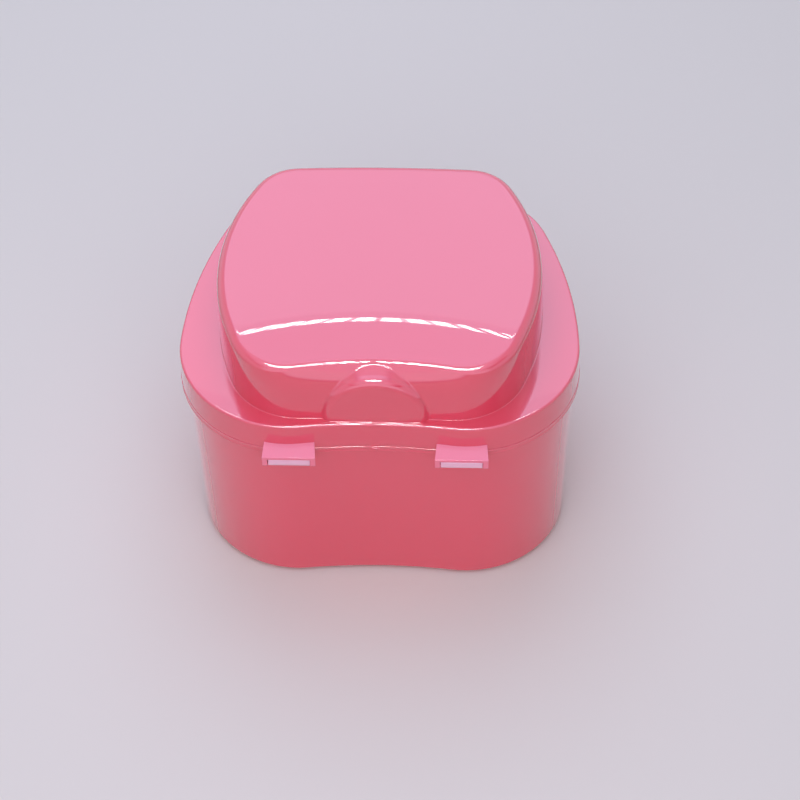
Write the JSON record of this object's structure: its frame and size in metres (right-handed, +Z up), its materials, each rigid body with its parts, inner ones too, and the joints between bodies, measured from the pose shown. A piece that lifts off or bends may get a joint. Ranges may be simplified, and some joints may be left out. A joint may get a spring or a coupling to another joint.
{
  "type": "denture case",
  "caption": "Pink denture case: a cup with a domed lid on two snap hinges and a lift-out strainer basket inside.",
  "frame": {"origin": "centre of the case's bounding box in plan, on the table plane under the cup's foot", "axes": "+X to the case's right seen from the hinge side, +Y from the hinges to the thumb lip, +Z up"},
  "size_m": [0.0926, 0.0872, 0.0705],
  "materials": {
    "pink_plastic": "glossy moulded",
    "white_plastic": "satin moulded"
  },
  "bodies": {
    "cup": {"cup": "pink_plastic"},
    "lid": {"lid": "pink_plastic"},
    "basket": {"strainer_basket": "white_plastic"}
  },
  "joints": [
    {"name": "lid_hinge", "type": "hinge", "parent": "cup", "child": "lid", "pos_m": [0, -0.04172, 0.04575], "axis": [1, 0, 0], "range_deg": [0, 135]},
    {"name": "basket_lift", "type": "slide", "parent": "cup", "child": "basket", "axis": [0, 0, 1], "range_m": [0, 0.0285]}
  ],
  "couplings": [
    {"joint": "basket_lift", "follows": "lid_hinge", "m_per_rad": 0.01209}
  ]
}
